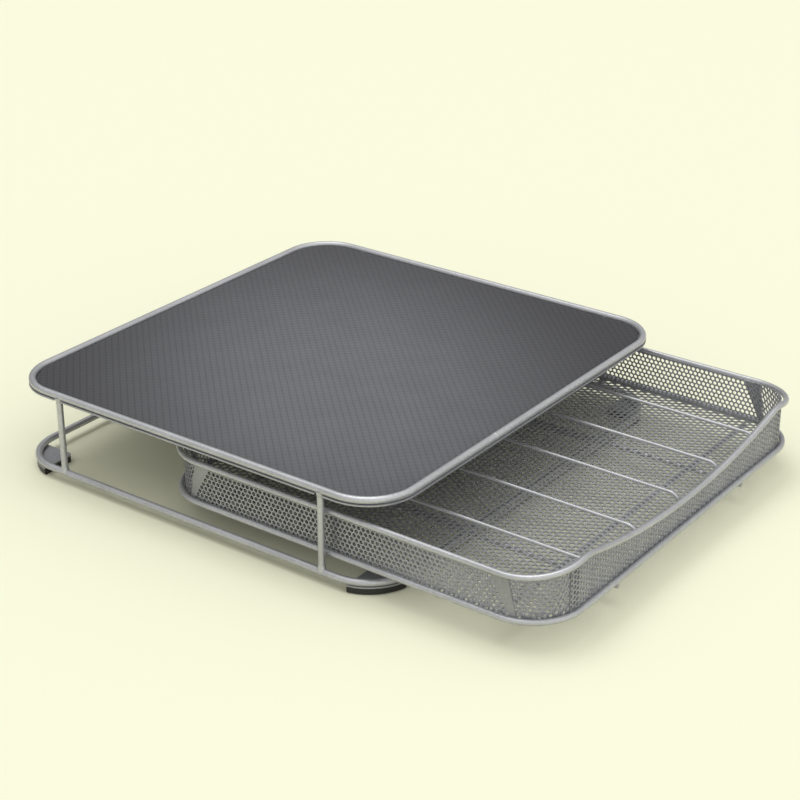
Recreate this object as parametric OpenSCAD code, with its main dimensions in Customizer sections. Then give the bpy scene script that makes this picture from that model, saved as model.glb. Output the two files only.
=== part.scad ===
// Low wire stand with a flat deck and a sliding mesh drawer under it.
// X runs to the right seen from the front, Y to the back and Z up.
// The origin is on the table, in the middle of the four feet. The drawer pulls out along -Y.

/* [Drawer] */
// Clear width between two dividers
channel_w = 51.6; // [46:0.1:60]
// Extra width of each of the two outer channels
edge_ease = 3.3; // [0:0.1:8]
// Clear depth inside the mesh
tray_d = 305; // [250:1:360]
// Height between the centres of the two rims, at the sides
wall_h = 30; // [26:0.5:45]
// Diameter of the rim wires
rim_wire = 4; // [3:0.1:5]
// Corner bend radius of the rims, at the wire's centre
rim_bend = 36; // [30:1:48]
// Rise of the upper rim round each front corner
ear_rise = 5.2; // [2:0.1:9]
// Radius in which the upper rim turns down again beside each front corner
crest_r = 30; // [15:1:60]
// Drop of the upper rim from the front corners to the middle of the front
front_dip = 15; // [8:0.5:18]
// How far the drawer is pulled out
pull_out = 120; // [0:1:155]

/* [Mesh] */
// Thickness of the mesh sheets
mesh_t = 0.8; // [0.6:0.1:1.5]
// Distance between neighbouring holes in the walls
wall_pitch = 5.4; // [4.5:0.1:12]
// Size of the holes in the walls, corner to corner
wall_hole = 4.2; // [2:0.1:5]
// Distance between neighbouring holes in the floor
floor_pitch = 20; // [19:1:30]
// Size of the holes in the floor, corner to corner
floor_hole = 16; // [8:0.5:17]
// Unpierced border of the floor
floor_border = 9; // [8:0.5:20]
// Length over which the end strips lap behind the side panels
lap = 10; // [6:0.5:16]

/* [Dividers] */
// Diameter of the divider wires
divider_wire = 2.4; // [2:0.1:3.5]
// Height of the dividers above the floor
divider_h = 22; // [14:0.5:26]
// Bend radius of the dividers, at the wire's centre
divider_bend = 8; // [4:0.5:11]
// Gap between the dividers' legs and the end walls
divider_gap = 2; // [1:0.1:3]

/* [Slide] */
// Diameter of the rails, the runners and the cross wires
slide_wire = 3.5; // [3:0.1:5]
// Distance between the centres of the two rails
rail_gauge = 157; // [100:1:200]
// How far the rails reach past the centres of the ring's wires
rail_overhang = 1.5; // [0.5:0.1:2]
// Gap to the side between each rail and its runner
guide_gap = 1; // [0.5:0.1:3]
// Distance of the cross wires from the corner bends of the rim
cross_inset = 4; // [2:0.5:60]
// Distance of the cross wires' ends inside the outer faces of the walls
cross_short = 3.5; // [1:0.5:10]

/* [Stand] */
// Diameter of the ring wires
frame_wire = 5; // [4.8:0.1:7]
// Corner bend radius of the rings, at the wire's centre
frame_bend = 34; // [28:1:50]
// Diameter of the posts
post_wire = 4.6; // [3:0.1:4.7]
// Distance of the posts from the start of the corner bends
post_inset = 12.5; // [6:0.5:60]
// Extra radius of the weld at each end of a post
weld_flare = 0.9; // [0.3:0.1:1.5]
// Length of the weld at each end of a post
weld_l = 4; // [2:0.1:6]
// How far the weld reaches over the ring wire, short of the wire's centre
weld_edge = 1; // [0.5:0.1:1.5]

/* [Deck] */
// Thickness of the deck sheet
sheet_t = 1; // [0.6:0.1:2]
// Thickness of the grip mat
mat_t = 2.5; // [1:0.1:4]
// Gap between the mat and the welds of the posts
mat_gap = 0.3; // [0.2:0.1:2]

/* [Feet] */
// Height of the base ring's underside above the table
foot_lift = 6; // [4.5:0.5:12]
// Reach of the corner plates and feet from the outer edges of the base ring
foot_reach = 29; // [24:0.5:34]
// Distance of their round edge inside the outside of the ring wire
foot_inset = 0.8; // [0:0.1:3]
// Radius of their inner corner
foot_round = 3; // [1:0.5:6]
// Thickness of the corner plates
corner_t = 1; // [0.8:0.1:2]
// Chamfer at the bottom edge of the feet
sole_chamfer = 1; // [0.3:0.1:1.5]

/* [Clearances] */
// Gap between wires and sheets that are welded together
seat = 0.05; // [0.02:0.01:0.1]
// Running gap under the drawer
run_gap = 0.3; // [0.2:0.05:1]
// Gap between the drawer and the posts
side_gap = 1.2; // [0.6:0.1:4]
// Distance of the closed drawer behind the front of the stand
front_set = 0.5; // [0:0.1:5]
// Gap between the closed drawer and the back of the base ring
rear_gap = 6.8; // [2:0.1:20]
// Gap between the drawer's front corners and the deck
headroom = 6; // [3:0.5:30]

/* [Hidden] */
$fn = 64;

// The dividers make one more channel than their own number
divider_count = 5;
channel_pitch = channel_w + divider_wire;
tray_w = (divider_count + 1) * channel_pitch - divider_wire + 2 * edge_ease;

// Outer faces of the mesh walls, and the rim wires that lie round them
wall_w = tray_w + 2 * mesh_t;
wall_d = tray_d + 2 * mesh_t;
rim_w = wall_w + 2 * seat + rim_wire;
rim_d = wall_d + 2 * seat + rim_wire;
wall_bend = rim_bend - rim_wire / 2 - seat;

// Rings of the stand, between the wires' centres, wide enough for the drawer to pass the posts
frame_w = rim_w + rim_wire + 2 * side_gap + post_wire;
frame_d = rim_d + rim_wire + front_set + rear_gap;
post_x = frame_w / 2;
post_y = frame_d / 2 - frame_bend - post_inset;

// Corner plates, welded under the bends of the base ring, and the feet under the plates
corner_r = frame_bend + frame_wire / 2 - foot_inset;
corner_top = foot_lift - seat;
foot_h = corner_top - corner_t;

// Heights of the slide, from the base ring up to the drawer's floor
base_z = foot_lift + frame_wire / 2;
base_top = foot_lift + frame_wire;
rail_z = base_top + seat + slide_wire / 2;
runner_z = base_top + run_gap + slide_wire / 2;
cross_z = runner_z + slide_wire + seat;
floor_z = cross_z + slide_wire / 2 + seat;
floor_top = floor_z + mesh_t;
rail_x = rail_gauge / 2;
runner_x = rail_x + slide_wire + guide_gap;

// Places of the drawer's rims
lower_rim_z = floor_z + rim_wire / 2;
upper_rim_z = lower_rim_z + wall_h;
rim_front_y = front_set + rim_wire / 2 - frame_d / 2 - frame_wire / 2 - pull_out;
rim_rear_y = rim_front_y + rim_d;
rim_mid_y = micron((rim_front_y + rim_rear_y) / 2);
// End walls: outer face of the front one, and the centres of its corner bends
wall_face_y = rim_mid_y - wall_d / 2;
wall_turn_x = wall_w / 2 - wall_bend;
wall_turn_y = wall_face_y + wall_bend;
// Straight sides of the rims: distance from the middle, and half of their length
rim_side_x = micron(rim_w / 2);
rim_side_y = micron(rim_d / 2 - rim_bend);

// The upper rim's front corners are quarter circles in planes that tilt up towards the middle.
// A crest arc on each side and one broad dip arc join them in the plane of the front.
ear_tilt = asin(ear_rise / rim_bend);
ear_z = upper_rim_z + ear_rise;
ear_x = rim_w / 2 - rim_bend * cos(ear_tilt);
crest_x = ear_x - crest_r * sin(ear_tilt);
crest_z = ear_z - crest_r * cos(ear_tilt);
dip_z = ear_z - front_dip;
dip_turn = 2 * atan((front_dip + crest_r * (1 - cos(ear_tilt))) / crest_x);
dip_r = crest_x / sin(dip_turn) - crest_r;
// Low weld bead where each crest meets the dip, and half of the gap between the wires inside it
bead = 0.08;
bead_l = 1.2;
bead_gap = 0.2;
crest_turn = micron(dip_turn + ear_tilt - bead_gap / crest_r * 180 / PI);
dip_reach = micron(dip_turn - bead_gap / dip_r * 180 / PI);
// Fine steps for the broad arc
dip_fn = 180;

// Heights of the deck, above the drawer's front corners
sheet_z = crest_z + crest_r + rim_wire / 2 + headroom;
mat_z = sheet_z + sheet_t;
ring_z = mat_z + seat + frame_wire / 2;
weld_r = post_wire / 2 + weld_flare;
mat_inset = max(frame_wire / 2, weld_r) + mat_gap;

// Rows of holes in the walls, in a triangle lattice, centred between the rims
row_pitch = wall_pitch * sqrt(3) / 2;
// Solid edge left between a hole and the rim
hole_edge = 0.6;
open_h = wall_h - rim_wire - 2 * hole_edge;
row_count = floor((open_h - wall_hole) / row_pitch) + 1;
row_z = (lower_rim_z + upper_rim_z - (row_count - 1) * row_pitch) / 2;

STEEL = [0.66, 0.66, 0.67];
MESH = [0.45, 0.45, 0.46];
DECK = [0.58, 0.58, 0.60];
MAT = [0.40, 0.40, 0.42];
PLASTIC = [0.10, 0.10, 0.11];

// Signs of X and Y and first angle of each corner bend of a ring
CORNERS = [[1, 1, 0], [-1, 1, 90], [-1, -1, 180], [1, -1, 270]];

// Nearest thousandth, so that the ends of a bent wire's stretches meet
function micron(value) = round(value * 1000) / 1000;

// Offset of every second row of a triangle lattice
function row_shift(row) = (row % 2) / 2;

// Places along a row of holes, within the given reach either side of its middle
function row_places(reach, pitch, row) = [
    for (step = [-ceil(reach / pitch) : ceil(reach / pitch)])
        let (place = (step + row_shift(row)) * pitch)
            if (abs(place) <= reach) place
];

// Height of the upper rim's centre line along the front
function front_rim_z(x) = abs(x) > dip_r * sin(dip_turn)
    ? crest_z + sqrt(crest_r * crest_r - (abs(x) - crest_x) * (abs(x) - crest_x))
    : dip_z + dip_r - sqrt(dip_r * dip_r - x * x);

// Straight wires, centred on the origin
module wire_x(length, wire) rotate([0, 90, 0]) cylinder(h = length, d = wire, center = true);

module wire_y(length, wire) rotate([90, 0, 0]) cylinder(h = length, d = wire, center = true);

// Bend of a wire round the Z axis
module wire_bend(radius, wire, from, sweep)
    rotate_extrude(start = from, angle = sweep) translate([radius, 0]) circle(d = wire);

// Round-cornered ring of wire, measured between the wire's centres
module wire_ring(w, d, bend, wire) {
    half_x = micron(w / 2 - bend);
    half_y = micron(d / 2 - bend);
    for (side = [-1, 1]) {
        translate([0, side * (half_y + bend), 0]) wire_x(2 * half_x, wire);
        translate([side * (half_x + bend), 0, 0]) wire_y(2 * half_y, wire);
    }
    for (corner = CORNERS)
        translate([corner.x * half_x, corner.y * half_y, 0]) wire_bend(bend, wire, corner.z, 90);
}

// Round-cornered plate standing on the XY plane
module plate(w, d, round, t) linear_extrude(height = t) {
    square([w - 2 * round, d], center = true);
    square([w, d - 2 * round], center = true);
    for (corner = CORNERS)
        translate([corner.x * (w / 2 - round), corner.y * (d / 2 - round)]) circle(r = round);
}

module top_ring() color(STEEL)
    translate([0, 0, ring_z]) wire_ring(frame_w, frame_d, frame_bend, frame_wire);

module base_ring() color(STEEL)
    translate([0, 0, base_z]) wire_ring(frame_w, frame_d, frame_bend, frame_wire);

// Sheet under the ring, flush with its outside and notched round the posts
module deck_sheet() color(DECK) difference() {
    translate([0, 0, sheet_z])
        plate(frame_w + frame_wire, frame_d + frame_wire, frame_bend + frame_wire / 2, sheet_t);
    notch_r = weld_r + seat;
    for (side_x = [-1, 1], side_y = [-1, 1])
        translate([side_x * post_x, side_y * post_y, sheet_z]) {
            cylinder(r = notch_r, h = 3 * sheet_t, center = true);
            translate([side_x * notch_r, 0, 0])
                cube([2 * notch_r, 2 * notch_r, 3 * sheet_t], center = true);
        }
}

module deck_mat() color(MAT)
    translate([0, 0, mat_z])
        plate(frame_w - 2 * mat_inset, frame_d - 2 * mat_inset, frame_bend - mat_inset, mat_t);

// Upright wire, coped over both rings, with a weld that widens towards each of them
module post(side_x, side_y) color(STEEL)
    translate([side_x * post_x, side_y * post_y, 0]) difference() {
        low = base_z + weld_edge;
        high = ring_z - weld_edge;
        union() {
            translate([0, 0, low]) cylinder(h = high - low, d = post_wire);
            translate([0, 0, low]) cylinder(h = weld_l, r1 = weld_r, r2 = post_wire / 2);
            translate([0, 0, high - weld_l]) cylinder(h = weld_l, r1 = post_wire / 2, r2 = weld_r);
        }
        for (z = [base_z, ring_z])
            translate([0, 0, z]) wire_y(4 * weld_r, frame_wire + 2 * seat);
    }

// Round slab of the given profile, concentric with a bend of the ring and cut to that corner
module corner_slab(side_x, side_y, profile) {
    inner_x = (frame_w + frame_wire) / 2 - foot_reach;
    inner_y = (frame_d + frame_wire) / 2 - foot_reach;
    mirror([side_x < 0 ? 1 : 0, 0, 0]) mirror([0, side_y < 0 ? 1 : 0, 0]) intersection() {
        translate([frame_w / 2 - frame_bend, frame_d / 2 - frame_bend, 0])
            rotate_extrude() polygon(profile);
        translate([inner_x, inner_y, -foot_lift]) linear_extrude(height = 3 * foot_lift) {
            translate([foot_round, 0]) square(2 * foot_reach);
            translate([0, foot_round]) square(2 * foot_reach);
            translate([foot_round, foot_round]) circle(r = foot_round);
        }
    }
}

// Steel plate under a bend of the base ring
module corner_plate(side_x, side_y) color(DECK)
    corner_slab(side_x, side_y, [[0, foot_h], [corner_r, foot_h], [corner_r, corner_top], [0, corner_top]]);

// Pad that is stuck under a corner plate, flush with its edges
module foot(side_x, side_y) color(PLASTIC)
    corner_slab(side_x, side_y, [
        [0, 0], [corner_r - sole_chamfer, 0], [corner_r, sole_chamfer], [corner_r, foot_h], [0, foot_h]
    ]);

// Wires across the base ring that carry the back of the drawer and guide its runners
module slide_rail(side) color(STEEL)
    translate([side * rail_x, 0, rail_z]) wire_y(frame_d + 2 * rail_overhang, slide_wire);

module drawer_lower_rim() color(STEEL)
    translate([0, rim_mid_y, lower_rim_z]) wire_ring(rim_w, rim_d, rim_bend, rim_wire);

// Left front part of the upper rim: tilted corner, crest, and the weld that joins it to the dip
module rim_ear() {
    translate([-rim_side_x, rim_mid_y - rim_side_y, upper_rim_z]) rotate([0, -ear_tilt, 0]) {
        translate([rim_bend, 0, 0]) wire_bend(rim_bend, rim_wire, 180, 90);
        translate([rim_bend, -rim_bend, -crest_r]) rotate([90, 0, 0])
            wire_bend(crest_r, rim_wire, 90 - crest_turn, crest_turn);
    }
    translate([-dip_r * sin(dip_turn), rim_front_y, front_rim_z(dip_r * sin(dip_turn))])
        rotate([0, 90 + dip_turn, 0]) cylinder(h = bead_l, d = rim_wire + 2 * bead, center = true);
}

module drawer_upper_rim() color(STEEL) {
    rim_ear();
    mirror([1, 0, 0]) rim_ear();
    translate([0, rim_front_y, dip_z + dip_r])
        rotate([90, 0, 0]) wire_bend(dip_r, rim_wire, 270 - dip_reach, 2 * dip_reach, $fn = dip_fn);
    for (side = [-1, 1]) {
        translate([side * rim_side_x, rim_mid_y, upper_rim_z]) wire_y(2 * rim_side_y, rim_wire);
        translate([side * (rim_side_x - rim_bend), rim_mid_y + rim_side_y, upper_rim_z])
            wire_bend(rim_bend, rim_wire, side > 0 ? 0 : 90, 90);
    }
    translate([0, rim_mid_y + rim_side_y + rim_bend, upper_rim_z])
        wire_x(2 * (rim_side_x - rim_bend), rim_wire);
}

// Hexagon punch with a corner up, along the X axis
module punch(hole) rotate([0, 90, 0]) cylinder(d = hole, h = 6 * mesh_t, center = true, $fn = 6);

// Left corner of an end strip, at the front: round shell, then a step inwards to the lap
module strip_corner(top_z) {
    lap_x = mesh_t + seat - wall_w / 2;
    translate([-wall_turn_x, wall_turn_y, floor_top])
        rotate_extrude(start = 180, angle = 90)
            translate([wall_bend - mesh_t, 0]) square([mesh_t, top_z - floor_top]);
    translate([lap_x, wall_turn_y - mesh_t, floor_top])
        cube([mesh_t, lap + mesh_t, upper_rim_z - floor_top]);
    translate([lap_x - mesh_t / 2, wall_turn_y - mesh_t, floor_top])
        cube([mesh_t, mesh_t, upper_rim_z - floor_top]);
}

// Punches along an end strip, drawn at the front: the rows run on round both corners
module strip_punches(rim_height) {
    reach = wall_turn_x + wall_bend * PI / 2 - wall_hole / 2 - hole_edge;
    for (row = [0 : row_count - 1], place = row_places(reach, wall_pitch, row)) {
        x = min(max(place, -wall_turn_x), wall_turn_x);
        z = row_z + row * row_pitch;
        if (z + wall_hole / 2 + rim_wire / 2 + hole_edge <= rim_height(x))
            translate([x, wall_turn_y, z]) rotate([0, 0, (place - x) / wall_bend * 180 / PI - 90])
                translate([wall_bend - mesh_t / 2, 0, 0]) punch(wall_hole);
    }
}

// Front strip of the mesh wall, its upper edge at the middle of the rim all along
module mesh_front() color(MESH) difference() {
    steps = 64;
    union() {
        intersection() {
            translate([-wall_turn_x, wall_face_y, floor_top]) cube([2 * wall_turn_x, mesh_t, 2 * wall_h]);
            outline_x = wall_turn_x + mesh_t;
            translate([0, wall_face_y + 2 * mesh_t, 0]) rotate([90, 0, 0]) linear_extrude(height = 3 * mesh_t)
                polygon([
                    [-outline_x, 0], [outline_x, 0],
                    for (step = [0 : steps])
                        let (x = outline_x * (1 - 2 * step / steps)) [x, front_rim_z(x)]
                ]);
        }
        for (flip = [0, 1]) mirror([flip, 0, 0]) difference() {
            strip_corner(ear_z + ear_rise);
            translate([-rim_w / 2, wall_face_y, upper_rim_z]) rotate([0, -ear_tilt, 0])
                translate([-rim_bend, -rim_bend, 0]) cube([3 * rim_bend, 3 * rim_bend, 3 * ear_rise]);
        }
    }
    strip_punches(function (x) front_rim_z(x));
}

// Back strip, of one height; it is drawn at the front and turned round
module mesh_rear() color(MESH)
    translate([0, 2 * rim_mid_y, 0]) mirror([0, 1, 0]) difference() {
        union() {
            translate([-wall_turn_x, wall_face_y, floor_top])
                cube([2 * wall_turn_x, mesh_t, upper_rim_z - floor_top]);
            for (flip = [0, 1]) mirror([flip, 0, 0]) strip_corner(upper_rim_z);
        }
        strip_punches(function (x) upper_rim_z);
    }

// Flat side panel between the bends, plain where the end strips lap behind it
module mesh_side(side) color(MESH) {
    length = wall_d - 2 * wall_bend - 2 * seat;
    face_x = side * (wall_w - mesh_t) / 2;
    difference() {
        translate([face_x - mesh_t / 2, rim_mid_y - length / 2, floor_top])
            cube([mesh_t, length, upper_rim_z - floor_top]);
        reach = length / 2 - lap - wall_hole / 2;
        for (row = [0 : row_count - 1], y = row_places(reach, wall_pitch, row))
            translate([face_x, rim_mid_y + y, row_z + row * row_pitch]) punch(wall_hole);
    }
}

// Floor on the cross wires, under the walls
module mesh_floor() color(MESH)
    translate([0, rim_mid_y, floor_z]) difference() {
        plate(wall_w, wall_d, wall_bend, mesh_t);
        reach_x = wall_w / 2 - floor_border - floor_hole / 2;
        reach_y = wall_d / 2 - floor_border - floor_hole / 2;
        turn_x = wall_w / 2 - wall_bend;
        turn_y = wall_d / 2 - wall_bend;
        row_step = floor_pitch * sqrt(3) / 2;
        rows = floor(reach_y / row_step);
        for (row = [-rows : rows], x = row_places(reach_x, floor_pitch, abs(row))) {
            y = row * row_step;
            corner = norm([max(abs(x) - turn_x, 0), max(abs(y) - turn_y, 0)]);
            if (corner + floor_hole / 2 + floor_border <= wall_bend)
                translate([x, y, 0]) rotate([0, 0, 30])
                    cylinder(d = floor_hole, h = 3 * mesh_t, center = true, $fn = 6);
        }
    }

// Wire staple along a channel, its two legs standing on the floor
module divider(number) color(STEEL) {
    leg_y = tray_d / 2 - divider_gap - divider_wire / 2;
    bar_z = floor_top + divider_h - divider_wire / 2;
    turn_z = bar_z - divider_bend;
    turn_y = leg_y - divider_bend;
    translate([(number - (divider_count + 1) / 2) * channel_pitch, rim_mid_y, 0]) {
        translate([0, 0, bar_z]) wire_y(2 * turn_y, divider_wire);
        for (end = [-1, 1]) {
            translate([0, end * turn_y, turn_z]) rotate([90, 0, 90])
                wire_bend(divider_bend, divider_wire, end > 0 ? 0 : 90, 90);
            translate([0, end * leg_y, floor_top]) cylinder(h = turn_z - floor_top, d = divider_wire);
        }
    }
}

// Wires under the drawer, from the inside of its front rim to the inside of its back rim
module runner(side) color(STEEL)
    translate([side * runner_x, rim_mid_y, runner_z]) wire_y(rim_d - rim_wire, slide_wire);

// Wires across the drawer's underside, on the runners and under the floor
module cross_wire(side) color(STEEL)
    translate([0, rim_mid_y + side * (rim_side_y - cross_inset), cross_z])
        wire_x(wall_w - 2 * cross_short, slide_wire);

top_ring();
deck_sheet();
deck_mat();
base_ring();
post(-1, -1);  // post_front_left
post(1, -1);  // post_front_right
post(-1, 1);  // post_rear_left
post(1, 1);  // post_rear_right
corner_plate(-1, -1);  // corner_plate_front_left
corner_plate(1, -1);  // corner_plate_front_right
corner_plate(-1, 1);  // corner_plate_rear_left
corner_plate(1, 1);  // corner_plate_rear_right
foot(-1, -1);  // foot_front_left
foot(1, -1);  // foot_front_right
foot(-1, 1);  // foot_rear_left
foot(1, 1);  // foot_rear_right
slide_rail(-1);  // slide_rail_left
slide_rail(1);  // slide_rail_right
drawer_upper_rim();
drawer_lower_rim();
mesh_front();
mesh_rear();
mesh_side(-1);  // mesh_left
mesh_side(1);  // mesh_right
mesh_floor();
divider(1);  // divider_1
divider(2);  // divider_2
divider(3);  // divider_3
divider(4);  // divider_4
divider(5);  // divider_5
runner(-1);  // runner_left
runner(1);  // runner_right
cross_wire(-1);  // cross_wire_front
cross_wire(1);  // cross_wire_rear
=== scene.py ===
import math

import bmesh
import bpy
from mathutils import Matrix, Vector


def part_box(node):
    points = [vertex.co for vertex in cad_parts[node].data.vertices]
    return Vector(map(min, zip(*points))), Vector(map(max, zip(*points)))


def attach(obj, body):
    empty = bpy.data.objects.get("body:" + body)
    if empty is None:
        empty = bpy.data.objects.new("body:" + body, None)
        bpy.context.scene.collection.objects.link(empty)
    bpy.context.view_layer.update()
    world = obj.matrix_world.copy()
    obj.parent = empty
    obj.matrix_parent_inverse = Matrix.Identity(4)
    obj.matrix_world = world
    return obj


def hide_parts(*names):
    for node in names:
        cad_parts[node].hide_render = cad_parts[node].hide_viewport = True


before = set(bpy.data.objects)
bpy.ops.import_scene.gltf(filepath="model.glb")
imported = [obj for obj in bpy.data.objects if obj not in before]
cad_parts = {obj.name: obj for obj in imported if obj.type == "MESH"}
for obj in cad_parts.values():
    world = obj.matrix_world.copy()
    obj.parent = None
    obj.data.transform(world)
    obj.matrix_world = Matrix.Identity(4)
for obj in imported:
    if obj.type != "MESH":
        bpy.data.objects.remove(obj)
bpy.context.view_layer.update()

MM = 0.001

# Wire stand: two rings, four posts and two slide rails, bent and welded from drawn steel wire.
# It is sprayed with silver-grey powder and baked, which leaves a satin coat with shallow dimples.
STAND_WIRES = ["top_ring", "base_ring", "slide_rail_left", "slide_rail_right"]
STAND_WIRES += [f"post_{end}_{side}" for end in ("front", "rear") for side in ("left", "right")]


def linear(colour):
    """An sRGB hex colour as the linear values that shaders take."""
    shares = [int(colour[place:place + 2], 16) / 255 for place in (1, 3, 5)]
    return [s / 12.92 if s <= 0.04045 else ((s + 0.055) / 1.055) ** 2.4 for s in shares] + [1]


def add_node(material, kind, inputs=None, **settings):
    """Adds a node with these settings. Its inputs are values, or output sockets to link."""
    node = material.node_tree.nodes.new(kind)
    for name, value in settings.items():
        setattr(node, name, value)
    for name, value in (inputs or {}).items():
        if isinstance(value, bpy.types.NodeSocket):
            material.node_tree.links.new(value, node.inputs[name])
        else:
            node.inputs[name].default_value = value
    return node


def finish_with(material, inputs):
    """Sets or links the sockets of the material's own shader."""
    shader = material.node_tree.nodes["Principled BSDF"]
    for name, value in inputs.items():
        if isinstance(value, bpy.types.NodeSocket):
            material.node_tree.links.new(value, shader.inputs[name])
        else:
            shader.inputs[name].default_value = value


def powder_coat(name, pale, dark, dimple, metallic):
    """Silver powder coat on steel: aluminium flakes give it a soft metal gleam, and the baked
    powder flows into dimples that break up the highlight along a wire."""
    material = bpy.data.materials.new(name)
    material.use_nodes = True
    place = add_node(material, "ShaderNodeTexCoord").outputs["Object"]
    # The dimples are about 1 mm on the real coat, drawn coarser so that they show
    peel = add_node(material, "ShaderNodeTexNoise", {"Vector": place, "Scale": 1 / dimple, "Detail": 2.0})
    flake_size = 0.7 * MM
    flakes = add_node(material, "ShaderNodeTexNoise", {"Vector": place, "Scale": 1 / flake_size})
    cloud_size = 35 * MM
    clouds = add_node(material, "ShaderNodeTexNoise", {"Vector": place, "Scale": 1 / cloud_size})
    mottle = add_node(
        material, "ShaderNodeMath", {0: peel.outputs["Fac"], 1: clouds.outputs["Fac"]},
        operation="MULTIPLY")
    share = add_node(
        material, "ShaderNodeMapRange",
        {"Value": mottle.outputs[0], "From Min": 0.1, "From Max": 0.45, "To Min": 0.0, "To Max": 1.0})
    colour = add_node(
        material, "ShaderNodeMixRGB",
        {"Fac": share.outputs["Result"], "Color1": linear(dark), "Color2": linear(pale)})
    gloss = add_node(
        material, "ShaderNodeMapRange",
        {"Value": flakes.outputs["Fac"], "From Min": 0.3, "From Max": 0.7, "To Min": 0.3, "To Max": 0.44})
    bump = add_node(
        material, "ShaderNodeBump", {"Height": peel.outputs["Fac"], "Strength": 0.3, "Distance": 0.25 * MM})
    finish_with(material, {
        "Base Color": colour.outputs["Color"], "Roughness": gloss.outputs["Result"],
        "Normal": bump.outputs["Normal"], "Metallic": metallic})
    return material


stand_coat = powder_coat("silver_powder_coat", "#d0d1d3", "#bdbec0", 2.2 * MM, 0.6)
for name in STAND_WIRES:
    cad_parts[name].data.materials[0] = stand_coat

# Weld beads of the stand: one closes each ring, and one joins each slide rail to the ring under it.
# They are small lumps of steel under the same coat.


def bead(bm, place, size):
    """Low rounded lump of weld, of that size along X, Y and Z."""
    matrix = Matrix.Translation(place) @ Matrix.Diagonal((*size, 1))
    bmesh.ops.create_uvsphere(bm, u_segments=16, v_segments=10, radius=0.5, matrix=matrix)


def make_piece(bm, name, body, slot, material, *nodes):
    """Turns the mesh into a piece on that body, which stands for these nodes."""
    mesh = bpy.data.meshes.new(name)
    bm.to_mesh(mesh)
    bm.free()
    mesh.materials.append(material)
    piece = bpy.data.objects.new(name, mesh)
    bpy.context.scene.collection.objects.link(piece)
    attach(piece, body)
    if nodes:
        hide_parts(*nodes)
    return piece


def shade_round(piece, sharp_angle):
    """Shades the piece smooth, but for edges that turn by more than this angle in degrees."""
    for face in piece.data.polygons:
        face.use_smooth = True
    piece.data.set_sharp_from_angle(angle=math.radians(sharp_angle))


ring_low, ring_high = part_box("top_ring")
base_low, base_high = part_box("base_ring")
frame_wire = ring_high.z - ring_low.z
ring_weld_x = -46 * MM
ring_weld = (7 * MM, 5.5 * MM, 5.5 * MM)
rail_weld = (4.6 * MM, 4.6 * MM, 1.8 * MM)

bm = bmesh.new()
bead(bm, (ring_weld_x, ring_low.y + frame_wire / 2, ring_high.z - frame_wire / 2), ring_weld)
bead(bm, (-ring_weld_x, base_high.y - frame_wire / 2, base_high.z - frame_wire / 2), ring_weld)
for side in ("left", "right"):
    rail_low, rail_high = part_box(f"slide_rail_{side}")
    for wire_y in (base_low.y + frame_wire / 2, base_high.y - frame_wire / 2):
        bead(bm, ((rail_low.x + rail_high.x) / 2, wire_y, base_high.z), rail_weld)
shade_round(make_piece(bm, "stand_welds", "stand", "wire", stand_coat), 60)

# Deck sheet and corner plates: sheet steel, welded under the top ring and under the base ring's bends.
# They have the same coat as the wires. The deck sheet shows only its edge, as a line below the ring.
sheet_coat = powder_coat("silver_powder_coat_on_sheet", "#bcbdc0", "#aaabae", 3.0 * MM, 0.5)
CORNERS = [f"{end}_{side}" for end in ("front", "rear") for side in ("left", "right")]
for name in ["deck_sheet"] + [f"corner_plate_{corner}" for corner in CORNERS]:
    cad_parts[name].data.materials[0] = sheet_coat

# Grip mat: soft PVC sheet, embossed by a roller with small squares that stand at 45 degrees.
# It lies loose on the sheet inside the ring.
mat_low, mat_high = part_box("deck_mat")
mat_half = (mat_high - mat_low) / 2
mat_round = 30.5 * MM
emboss_pitch = 4.6 * MM
emboss_groove = 1.2 * MM
emboss_depth = 0.2 * MM


def within_plate(half_x, half_y, corner):
    """Gives for any point the nearest one inside a round-cornered plate centred on the origin."""
    def nearest(point):
        x = min(max(point.x, corner - half_x), half_x - corner)
        y = min(max(point.y, corner - half_y), half_y - corner)
        reach = Vector((point.x - x, point.y - y, 0))
        if reach.length > corner:
            reach *= corner / reach.length
        return Vector((x, y, point.z)) + reach
    return nearest


def trim(bm, nearest):
    """Cuts a sheet of cells to an outline, which nearest moves a point to if it is outside."""
    kept = {vert: nearest(vert.co) for vert in bm.verts}
    speck = 0.001 * MM
    outside = {vert for vert in bm.verts if (kept[vert] - vert.co).length > speck}
    lost = [face for face in bm.faces if outside.issuperset(face.verts)]
    bmesh.ops.delete(bm, geom=lost, context="FACES")
    for vert in bm.verts:
        vert.co = kept[vert]
    bmesh.ops.dissolve_degenerate(bm, edges=bm.edges, dist=speck)


bm = bmesh.new()
squares = 2 * math.ceil((mat_half.x + mat_half.y) / math.sqrt(2) / emboss_pitch)
bmesh.ops.create_grid(bm, x_segments=squares, y_segments=squares, size=squares * emboss_pitch / 2)
bmesh.ops.rotate(bm, verts=bm.verts, matrix=Matrix.Rotation(math.radians(45), 3, "Z"))
trim(bm, within_plate(mat_half.x, mat_half.y, mat_round))
whole = [face for face in bm.faces if face.calc_area() > 0.6 * emboss_pitch ** 2]
bmesh.ops.inset_individual(bm, faces=whole, thickness=emboss_groove / 2, depth=emboss_depth)
rim = [edge for edge in bm.edges if edge.is_boundary]
walls = bmesh.ops.extrude_edge_only(bm, edges=rim)["geom"]
foot_verts = [item for item in walls if isinstance(item, bmesh.types.BMVert)]
bmesh.ops.translate(bm, verts=foot_verts, vec=(0, 0, emboss_depth - 2 * mat_half.z))
bmesh.ops.holes_fill(bm, edges=[edge for edge in bm.edges if edge.is_boundary], sides=0)
bmesh.ops.translate(bm, verts=bm.verts, vec=(0, 0, mat_high.z - emboss_depth))
bmesh.ops.recalc_face_normals(bm, faces=bm.faces)

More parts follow.
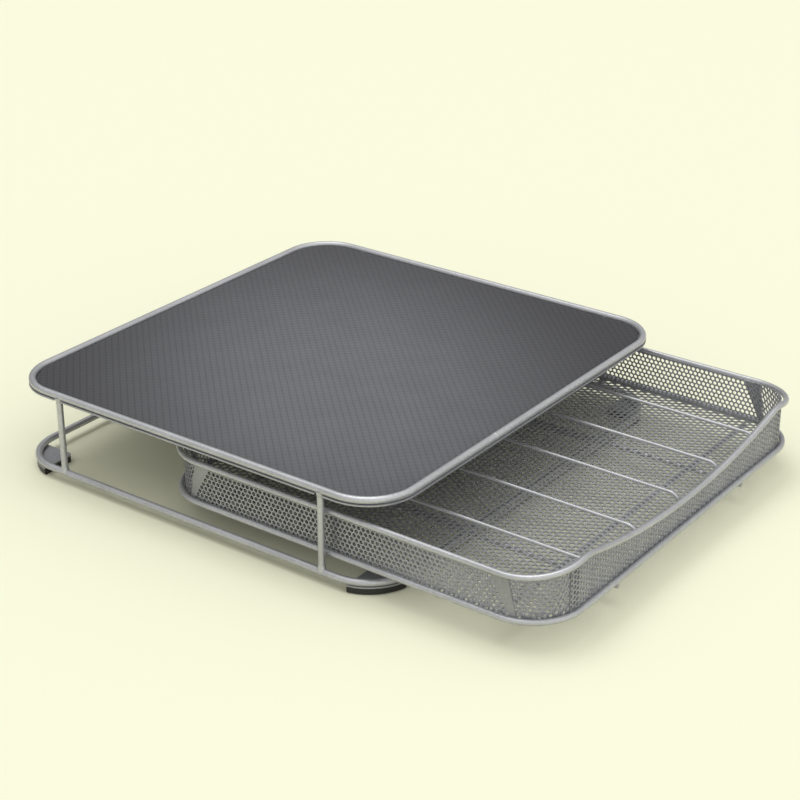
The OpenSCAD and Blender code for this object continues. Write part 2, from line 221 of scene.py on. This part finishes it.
# Embossed PVC is dull, with a fine matt grain. A painted sheen pales it towards the middle, in a patch
# that is longer along one diagonal, and painted shade darkens it towards its edges and in the grooves
# between the squares
grip_pvc = bpy.data.materials.new("embossed_grey_pvc")
grip_pvc.use_nodes = True
place = add_node(grip_pvc, "ShaderNodeTexCoord").outputs["Object"]
# Painted sheen and shade: the mat's colour is paler round this point and darker towards its edges
sheen_middle = (-40 * MM, -25 * MM, mat_high.z)
sheen_near, sheen_far = 30 * MM, 220 * MM
sheen_stretch = 1.6
sheen_place = add_node(
    grip_pvc, "ShaderNodeMapping",
    {"Vector": place, "Location": sheen_middle, "Rotation": (0, 0, math.radians(-45)),
     "Scale": (1, sheen_stretch, 1)},
    vector_type="TEXTURE")
reach = add_node(grip_pvc, "ShaderNodeVectorMath", {0: sheen_place.outputs["Vector"]}, operation="LENGTH")
painted_sheen = add_node(
    grip_pvc, "ShaderNodeMapRange",
    {"Value": reach.outputs["Value"], "From Min": sheen_near, "From Max": sheen_far,
     "To Min": 1.0, "To Max": 0.0},
    interpolation_type="SMOOTHSTEP")
scuff_size = 30 * MM
scuffs = add_node(
    grip_pvc, "ShaderNodeTexNoise",
    {"Vector": place, "Scale": 1 / scuff_size, "Detail": 6.0, "Roughness": 0.6})
wear = add_node(
    grip_pvc, "ShaderNodeMapRange",
    {"Value": scuffs.outputs["Fac"], "From Min": 0.3, "From Max": 0.7, "To Min": 0.85, "To Max": 1.0})
# pale is the painted sheen, broken up by the random scuffs
pale = add_node(
    grip_pvc, "ShaderNodeMath", {0: painted_sheen.outputs["Result"], 1: wear.outputs["Result"]},
    operation="MULTIPLY")
colour = add_node(
    grip_pvc, "ShaderNodeMixRGB",
    {"Fac": pale.outputs[0], "Color1": linear("#4a4a4d"), "Color2": linear("#747578")})
# Painted shade in the grooves: the colour is darkened by up to 9 % along each groove between the squares
in_rows = add_node(
    grip_pvc, "ShaderNodeMapping", {"Vector": place, "Rotation": (0, 0, math.radians(45))})
rows = add_node(grip_pvc, "ShaderNodeSeparateXYZ", {"Vector": in_rows.outputs["Vector"]})
for across in ("X", "Y"):
    from_groove = add_node(
        grip_pvc, "ShaderNodeMath", {0: rows.outputs[across], 1: emboss_pitch / 2}, operation="PINGPONG")
    painted_groove_shade = add_node(
        grip_pvc, "ShaderNodeMapRange",
        {"Value": from_groove.outputs[0], "From Min": 0.2 * emboss_groove, "From Max": emboss_groove,
         "To Min": 0.91, "To Max": 1.0})
    colour = add_node(
        grip_pvc, "ShaderNodeVectorMath",
        {0: colour.outputs[0], "Scale": painted_groove_shade.outputs["Result"]}, operation="SCALE")
# The grain is finer than a third of a millimetre, drawn coarser so that it shows
grain_size = 0.9 * MM
grain = add_node(grip_pvc, "ShaderNodeTexNoise", {"Vector": place, "Scale": 1 / grain_size, "Detail": 3.0})
bump = add_node(
    grip_pvc, "ShaderNodeBump", {"Height": grain.outputs["Fac"], "Strength": 0.3, "Distance": 0.1 * MM})
gloss = add_node(
    grip_pvc, "ShaderNodeMapRange",
    {"Value": grain.outputs["Fac"], "From Min": 0.3, "From Max": 0.7, "To Min": 0.55, "To Max": 0.72})
finish_with(grip_pvc, {
    "Base Color": colour.outputs[0], "Roughness": gloss.outputs["Result"],
    "Normal": bump.outputs["Normal"], "IOR": 1.53, "Specular IOR Level": 0.2})
make_piece(bm, "grip_mat", "stand", "mat", grip_pvc, "deck_mat")

# Corner feet: black ABS pads stuck under the corner plates, flush with their edges.
# Each is a quarter of a disc with its edges eased in the mould.
black_abs = bpy.data.materials.new("moulded_black_abs")
black_abs.use_nodes = True
place = add_node(black_abs, "ShaderNodeTexCoord").outputs["Object"]
# Spark-eroded moulds give ABS a fine pebbled skin, drawn coarser so that it shows
pebble_size = 1.2 * MM
pebbles = add_node(
    black_abs, "ShaderNodeTexNoise", {"Vector": place, "Scale": 1 / pebble_size, "Detail": 2.0})
bump = add_node(
    black_abs, "ShaderNodeBump",
    {"Height": pebbles.outputs["Fac"], "Strength": 0.25, "Distance": 0.15 * MM})
gloss = add_node(
    black_abs, "ShaderNodeMapRange",
    {"Value": pebbles.outputs["Fac"], "From Min": 0.3, "From Max": 0.7, "To Min": 0.3, "To Max": 0.45})
colour = add_node(
    black_abs, "ShaderNodeMixRGB",
    {"Fac": pebbles.outputs["Fac"], "Color1": linear("#111113"), "Color2": linear("#1e1e21")})
finish_with(black_abs, {
    "Base Color": colour.outputs["Color"], "Roughness": gloss.outputs["Result"],
    "Normal": bump.outputs["Normal"], "IOR": 1.54})

foot_ease = 0.45 * MM
for corner in CORNERS:
    bm = bmesh.new()
    bm.from_mesh(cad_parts[f"foot_{corner}"].data)
    bmesh.ops.remove_doubles(bm, verts=bm.verts, dist=0.002 * MM)
    bmesh.ops.dissolve_limit(bm, verts=bm.verts, edges=bm.edges, angle_limit=math.radians(1))
    foot = make_piece(bm, f"{corner}_foot", "stand", "foot", black_abs, f"foot_{corner}")
    shade_round(foot, 30)
    ease = foot.modifiers.new("eased edges", "BEVEL")
    ease.width = foot_ease
    ease.segments = 3
    ease.limit_method = "ANGLE"
    ease.angle_limit = math.radians(35)
    ease.harden_normals = True

# Drawer rims, runners and cross wires: 4 mm and 3.5 mm steel wire, welded, coated as the stand.
drawer_coat = powder_coat("silver_powder_coat_on_drawer", "#d0d1d3", "#bcbdbf", 2.6 * MM, 0.6)
for name in ("drawer_upper_rim", "drawer_lower_rim", "runner_left", "runner_right",
             "cross_wire_front", "cross_wire_rear"):
    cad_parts[name].data.materials[0] = drawer_coat

# Dividers: five staples of thinner wire that stand on the drawer's floor, with a thinner coat.
divider_coat = powder_coat("silver_powder_coat_on_thin_wire", "#d4d5d7", "#c0c1c3", 1.8 * MM, 0.6)
DIVIDERS = [f"divider_{number}" for number in range(1, 6)]
for name in DIVIDERS:
    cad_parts[name].data.materials[0] = divider_coat

# Weld beads of the drawer: where the cross wires lie on the runners,
# and where the divider legs stand on the floor.
floor_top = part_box("mesh_floor")[1].z
wire_weld = (4.4 * MM, 4.4 * MM, 1.6 * MM)
leg_weld = (4.2 * MM, 4.2 * MM, 2.0 * MM)

bm = bmesh.new()
for end in ("front", "rear"):
    cross_low, cross_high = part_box(f"cross_wire_{end}")
    cross_y = (cross_low.y + cross_high.y) / 2
    for side in ("left", "right"):
        runner_low, runner_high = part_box(f"runner_{side}")
        bead(bm, ((runner_low.x + runner_high.x) / 2, cross_y, cross_low.z), wire_weld)
for name in DIVIDERS:
    low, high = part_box(name)
    wire = high.x - low.x
    for leg_y in (low.y + wire / 2, high.y - wire / 2):
        bead(bm, ((low.x + high.x) / 2, leg_y, floor_top), leg_weld)
shade_round(make_piece(bm, "drawer_welds", "drawer", "wire", drawer_coat), 60)

# Mesh walls: steel sheet slit and stretched into a honeycomb of small holes, then coated.
# Flat sheets stand along the four sides, and four curved ones turn the corners and lap behind them.
# The side panels have plain ends where they are welded to the curved sheets. All stand inside the rims.
mesh_coat = powder_coat("silver_powder_coat_on_mesh", "#b8b9bb", "#a0a1a3", 2.0 * MM, 0.4)
hole_pitch = 3.64 * MM
strand = 1.0 * MM
mesh_t = 0.75 * MM
strand_ease = 0.16 * MM
hem = 2.2 * MM


def honeycomb(bm, length, height, pitch):
    """Sheet of joined hexagons with corners up, centred on the origin, that covers the given size."""
    row_step = pitch * math.sqrt(3) / 2
    columns = math.ceil(length / pitch) + 2
    pairs = math.ceil(height / row_step / 2) + 1
    start = Vector((-columns * pitch / 2, -pairs * row_step, 0))
    for shift in (Vector((0, 0, 0)), Vector((pitch / 2, row_step, 0))):
        bmesh.ops.create_circle(
            bm, cap_ends=True, segments=6, radius=pitch / math.sqrt(3),
            matrix=Matrix.Translation(start + shift))
    for step, copies in ((Vector((pitch, 0, 0)), columns), (Vector((0, 2 * row_step, 0)), pairs)):
        bmesh.ops.spin(
            bm, geom=bm.verts[:] + bm.edges[:] + bm.faces[:], steps=copies, dvec=step,
            axis=(0, 0, 1), angle=0, use_duplicate=True)
    bmesh.ops.remove_doubles(bm, verts=bm.verts, dist=0.05 * pitch)


def open_holes(bm, pitch, strand, is_open):
    """Opens a hole in each cell that is nearly whole and whose middle is in the open part."""
    cell_area = pitch ** 2 * math.sqrt(3) / 2
    cells = [
        face for face in bm.faces
        if face.calc_area() > 0.5 * cell_area and is_open(face.calc_center_median())]
    bmesh.ops.inset_individual(bm, faces=cells, thickness=strand / 2, use_even_offset=True)
    bmesh.ops.delete(bm, geom=cells, context="FACES")


def thicken(piece, thickness, ease_width):
    """Gives a sheet its thickness on both sides and, with a width, round edges to its strands."""
    solid = piece.modifiers.new("thickness", "SOLIDIFY")
    solid.thickness = thickness
    solid.offset = 0
    if ease_width:
        ease = piece.modifiers.new("eased strands", "BEVEL")
        ease.width = ease_width
        ease.segments = 1
        ease.limit_method = "ANGLE"
        ease.angle_limit = math.radians(50)


# The walls' middle surface, from the nodes that the mesh stands for
front_low, front_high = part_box("mesh_front")
rear_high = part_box("mesh_rear")[1]
panel_low, panel_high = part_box("mesh_left")
sheet = panel_high.x - panel_low.x
wall_foot = panel_low.z
wall_top = panel_high.z
panel_h = wall_top - wall_foot
wall_x = front_high.x - sheet / 2
wall_mid_y = (front_low.y + rear_high.y) / 2
bend = panel_low.y - front_low.y - sheet / 2
turn_x = wall_x - bend
turn_y = (panel_high.y - panel_low.y) / 2
arc = bend * math.pi / 2
half_loop = 2 * (turn_x + arc + turn_y)

# The upper rim's line: level at the sides, up round the front corners, and down in a broad arc
rim_low, rim_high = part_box("drawer_lower_rim")
rim_wire = rim_high.z - rim_low.z
rim_bend = 36 * MM
ear_rise = 5.2 * MM
crest_r = 30 * MM
front_dip = 15 * MM
rim_x = rim_high.x - rim_wire / 2
ear_tilt = math.asin(ear_rise / rim_bend)
ear_z = wall_top + ear_rise
crest_x = rim_x - rim_bend * math.cos(ear_tilt) - crest_r * math.sin(ear_tilt)
crest_z = ear_z - crest_r * math.cos(ear_tilt)
dip_turn = 2 * math.atan((front_dip + crest_r * (1 - math.cos(ear_tilt))) / crest_x)
dip_r = crest_x / math.sin(dip_turn) - crest_r


def front_rim_z(x):
    """Height of the upper rim's middle along the front and its corners."""
    reach = abs(x)
    if reach > turn_x:
        return wall_top + (rim_x - reach) * math.tan(ear_tilt)
    if reach > dip_r * math.sin(dip_turn):
        return crest_z + math.sqrt(crest_r ** 2 - (reach - crest_x) ** 2)
    return ear_z - front_dip + dip_r - math.sqrt(dip_r ** 2 - x ** 2)


def wall_place(along, tuck):
    """Where the wall lies, seen from above, so far along it to the right of the front's middle.
    A sheet that laps behind the others is tucked in."""
    along = (along + half_loop) % (2 * half_loop) - half_loop
    reach = min(abs(along), half_loop - abs(along))
    end = -1 if reach == abs(along) else 1
    flat = min(reach, turn_x)
    turned = min(max((reach - turn_x) / bend, 0), math.pi / 2)
    beyond = max(reach - turn_x - arc, 0)
    x = flat + (bend - tuck) * math.sin(turned)
    y = turn_y + (bend - tuck) * math.cos(turned) - beyond
    return math.copysign(x, along), wall_mid_y + end * y


def wall_h(along):
    """Height of the wall there, up to the middle of the upper rim."""
    x, y = wall_place(along, 0)
    top = front_rim_z(x) if y < wall_mid_y - turn_y else wall_top
    return top - wall_foot


def ends_at(ends, height):
    """Where a sheet ends at a height. Each end is a straight cut, given at its foot and its top."""
    return [foot + (top - foot) * height / panel_h for foot, top in ends]


def wall_sheet(whole, middle, ends, holed, turned=False, tuck=0, sag=math.inf):
    """Adds one sheet to a wall, with its middle so far along the wall. Its ends and the ends of its
    holed part are measured from there. The rows of a turned sheet stand upright, and the rows of
    a sheet that was stretched over a bend hang in an arc of the sag's radius."""
    length = max(foot for foot, top in ends + [end[::-1] for end in ends])
    bm = bmesh.new()
    if turned:
        honeycomb(bm, 4 * panel_h, 2 * length, hole_pitch)
        bmesh.ops.rotate(bm, verts=bm.verts, matrix=Matrix.Rotation(math.pi / 2, 3, "Z"))
    else:
        honeycomb(bm, 2 * length, 4 * panel_h, hole_pitch)
    for vert in bm.verts:
        vert.co.y += vert.co.x ** 2 / (2 * sag)

    def nearest(point):
        height = min(max(point.y, 0), wall_h(middle + point.x))
        left, right = ends_at(ends, height)
        return Vector((min(max(point.x, left), right), height, 0))

    def is_open(point):
        left, right = ends_at(holed, point.y)
        return point.y > hem and left < point.x < right

    trim(bm, nearest)
    open_holes(bm, hole_pitch, strand, is_open)
    for vert in bm.verts:
        x, y = wall_place(middle + vert.co.x, tuck)
        vert.co = (x, y, wall_foot + vert.co.y)
    bmesh.ops.recalc_face_normals(bm, faces=bm.faces)
    part = bpy.data.meshes.new("wall_sheet")
    bm.to_mesh(part)
    bm.free()
    whole.from_mesh(part)
    bpy.data.meshes.remove(part)


# How far the flat sheets reach round the bends, and the curved ones out of them behind the panels
front_lap = 8 * MM
panel_wrap_foot, panel_wrap_top = 11 * MM, 4 * MM
tab_foot, tab_top = -7 * MM, 9 * MM
corner_sag = 35 * MM
corner_at = turn_x + arc / 2

for name, node, middle, way in (
    ("front_mesh", "mesh_front", 0, 1), ("rear_mesh", "mesh_rear", half_loop, -1)
):
    whole = bmesh.new()
    reach = turn_x + front_lap
    ends = [(-reach, -reach), (reach, reach)]
    wall_sheet(whole, middle, ends, ends, turned=True)
    for side in (-1, 1):
        ends = [(-arc / 2, -arc / 2), (arc / 2 + tab_foot, arc / 2 + tab_top)]
        if side * way < 0:
            ends = [(-foot, -top) for foot, top in reversed(ends)]
        at = side * (corner_at if way > 0 else half_loop - corner_at)
        wall_sheet(whole, at, ends, ends, tuck=sheet, sag=corner_sag)
    thicken(make_piece(whole, name, "drawer", "mesh", mesh_coat, node), mesh_t, strand_ease)

for name, node, side in (("left_mesh", "mesh_left", -1), ("right_mesh", "mesh_right", 1)):
    whole = bmesh.new()
    foot, top = turn_y + panel_wrap_foot, turn_y + panel_wrap_top
    ends = [(-foot, -top), (foot, top)]
    foot, top = turn_y - tab_foot, turn_y - tab_top
    holed = [(-foot, -top), (foot, top)]
    wall_sheet(whole, side * half_loop / 2, ends, holed)
    thicken(make_piece(whole, name, "drawer", "mesh", mesh_coat, node), mesh_t, strand_ease)

# Mesh floor: one flat sheet of the same stretched steel, with a plain border, on the cross wires.
# Its holes are drawn a little larger than the walls', which keeps the sheet light.
floor_pitch = 5 * MM
floor_strand = 1.4 * MM
floor_low, floor_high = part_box("mesh_floor")
floor_half = (floor_high - floor_low) / 2

bm = bmesh.new()
honeycomb(bm, 2 * floor_half.x, 2 * floor_half.y, floor_pitch)
trim(bm, within_plate(floor_half.x, floor_half.y, bend + sheet / 2))
open_holes(bm, floor_pitch, floor_strand, lambda point: True)
bmesh.ops.translate(bm, verts=bm.verts, vec=(0, wall_mid_y, (floor_low.z + floor_high.z) / 2))
bmesh.ops.recalc_face_normals(bm, faces=bm.faces)
thicken(make_piece(bm, "floor_mesh", "drawer", "mesh", mesh_coat, "mesh_floor"), mesh_t, 0)

# Studio: a plain cream floor, a wide soft key lamp overhead, and a surround that is brighter on the
# photographer's side. The floor throws back little light, so that it does not tint the wires.
studio_floor = bpy.data.materials.new("cream_paper_sweep")
studio_floor.use_nodes = True
path = add_node(studio_floor, "ShaderNodeLightPath")
seen = path.outputs["Is Camera Ray"]
for ray in ("Is Glossy Ray", "Is Transmission Ray"):
    either = add_node(
        studio_floor, "ShaderNodeMath", {0: seen, 1: path.outputs[ray]}, operation="MAXIMUM")
    seen = either.outputs[0]
paper = add_node(
    studio_floor, "ShaderNodeMixRGB",
    {"Fac": seen, "Color1": linear("#4c4c4b"), "Color2": linear("#fcfce0")})
finish_with(studio_floor, {
    "Base Color": paper.outputs["Color"], "Roughness": 0.9, "Specular IOR Level": 0.1})
sweep_half = 6
bm = bmesh.new()
bmesh.ops.create_grid(bm, x_segments=1, y_segments=1, size=sweep_half)
sweep_mesh = bpy.data.meshes.new("paper_sweep")
bm.to_mesh(sweep_mesh)
bm.free()
sweep_mesh.materials.append(studio_floor)
sweep = bpy.data.objects.new("paper_sweep", sweep_mesh)
bpy.context.scene.collection.objects.link(sweep)

overhead = Vector((0.05, 0.2, 1.0))
bright_side = Vector((-0.35, -0.65, 0.7)).normalized()
key_data = bpy.data.lights.new("key", "SUN")
key_data.energy = 0.87
key_data.angle = math.radians(40)
key = bpy.data.objects.new("key", key_data)
key.rotation_euler = overhead.to_track_quat("Z", "Y").to_euler()
bpy.context.scene.collection.objects.link(key)

world = bpy.data.worlds.new("studio")
world.use_nodes = True
way = add_node(world, "ShaderNodeTexCoord").outputs["Generated"]
towards = add_node(world, "ShaderNodeVectorMath", {0: way, 1: bright_side}, operation="DOT_PRODUCT")
glow = add_node(
    world, "ShaderNodeMapRange",
    {"Value": towards.outputs["Value"], "From Min": -0.6, "From Max": 0.9, "To Min": 0.1, "To Max": 1.0})
world.node_tree.nodes["Background"].inputs["Color"].default_value = (1, 1, 1, 1)
world.node_tree.links.new(glow.outputs["Result"], world.node_tree.nodes["Background"].inputs["Strength"])
bpy.context.scene.world = world
bpy.context.scene.view_settings.view_transform = "Standard"

# Camera: the photograph's view, from the front left and above, on a square frame.
view_target = Vector((-19.0, -63.2, 55.7)) * MM
view_distance = 1335.2 * MM
view_azimuth = math.radians(-53.64)
view_height = math.radians(25.51)
lens = bpy.data.cameras.new("photo_view")
lens.sensor_width = 36
lens.lens = 86.14
camera = bpy.data.objects.new("photo_view", lens)
back = Vector((
    math.sin(view_azimuth) * math.cos(view_height),
    -math.cos(view_azimuth) * math.cos(view_height),
    math.sin(view_height)))
camera.location = view_target + view_distance * back
camera.rotation_euler = back.to_track_quat("Z", "Y").to_euler()
bpy.context.scene.collection.objects.link(camera)
bpy.context.scene.camera = camera
